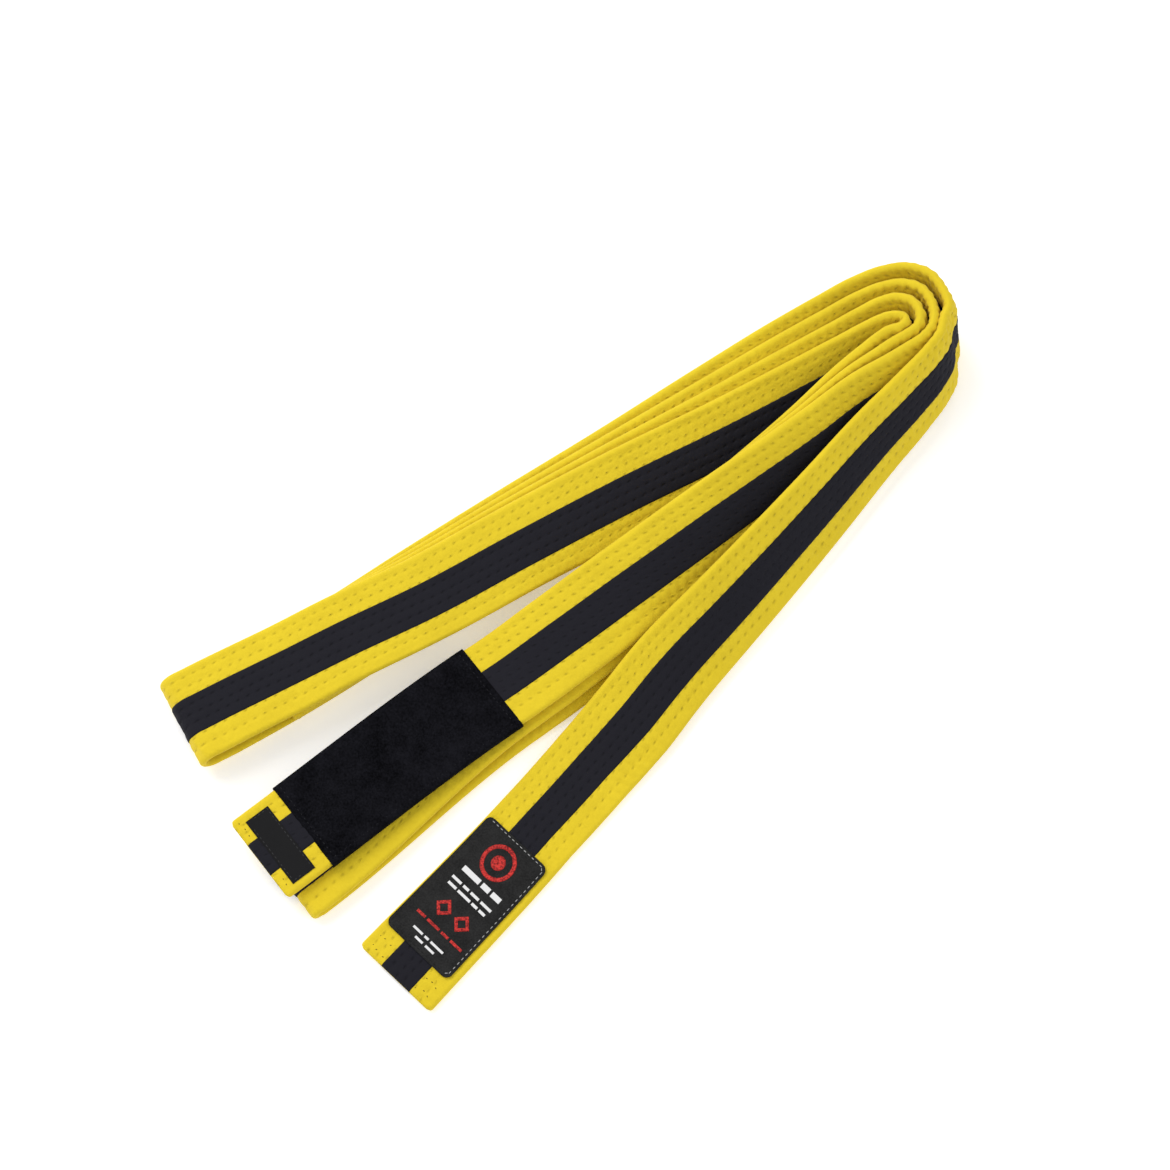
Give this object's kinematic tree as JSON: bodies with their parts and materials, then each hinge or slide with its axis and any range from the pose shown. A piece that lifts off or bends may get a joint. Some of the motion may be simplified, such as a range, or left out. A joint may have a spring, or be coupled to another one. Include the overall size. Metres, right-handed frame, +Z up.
{
  "type": "martial arts belt",
  "caption": "Folded quilted cotton belt with a contrasting centre stripe, a dark rank bar near one tip and a sewn-on patch near the other.",
  "frame": {"origin": "centre of the bounding box in plan, on the resting plane", "axes": "+Z up from the table the belt lies on, +X to the right with the bend at +X and both tips towards -X and -Y"},
  "size_m": [0.3274, 0.3054, 0.0389],
  "materials": {
    "cotton_yellow": "dull woven cotton, quilted",
    "canvas_filling": "undyed canvas, hidden",
    "tape_black": "near-black cotton twill tape",
    "thread_yellow": "dull polyester thread",
    "thread_black": "dull polyester thread",
    "bar_felt": "soft brushed black cloth",
    "label_cloth": "black woven label",
    "label_thread": "dull grey thread",
    "patch_cloth": "black pebbled cloth",
    "thread_grey": "light grey thread",
    "motif_red": "red raised embroidery",
    "woven_white": "white raised print",
    "thread_end": "dull yellow thread"
  },
  "bodies": {
    "root": {"cover_fabric": "cotton_yellow", "core_ply_1": "canvas_filling", "core_ply_2": "canvas_filling", "core_ply_3": "canvas_filling", "stripe_tape_front": "tape_black", "stripe_tape_back": "tape_black", "quilting_thread_1": "thread_yellow", "quilting_thread_2": "thread_yellow", "quilting_thread_3": "thread_yellow", "quilting_thread_4": "thread_black", "quilting_thread_5": "thread_black", "quilting_thread_6": "thread_black", "quilting_thread_7": "thread_yellow", "quilting_thread_8": "thread_yellow", "rank_bar_sleeve": "bar_felt", "rank_bar_stitching": "thread_black", "tip_label": "label_cloth", "tip_label_stitching": "label_thread", "patch": "patch_cloth", "patch_stitching": "thread_grey", "patch_emblem_ring": "motif_red", "patch_emblem_disc": "motif_red", "patch_motif_left": "motif_red", "patch_motif_right": "motif_red", "patch_line_1": "woven_white", "patch_line_2": "woven_white", "patch_line_3": "woven_white", "patch_line_4": "motif_red", "patch_line_5": "woven_white", "patch_line_6": "woven_white", "end_stitching_patch_tip": "thread_end", "end_stitching_bar_tip": "thread_end"}
  },
  "joints": []
}
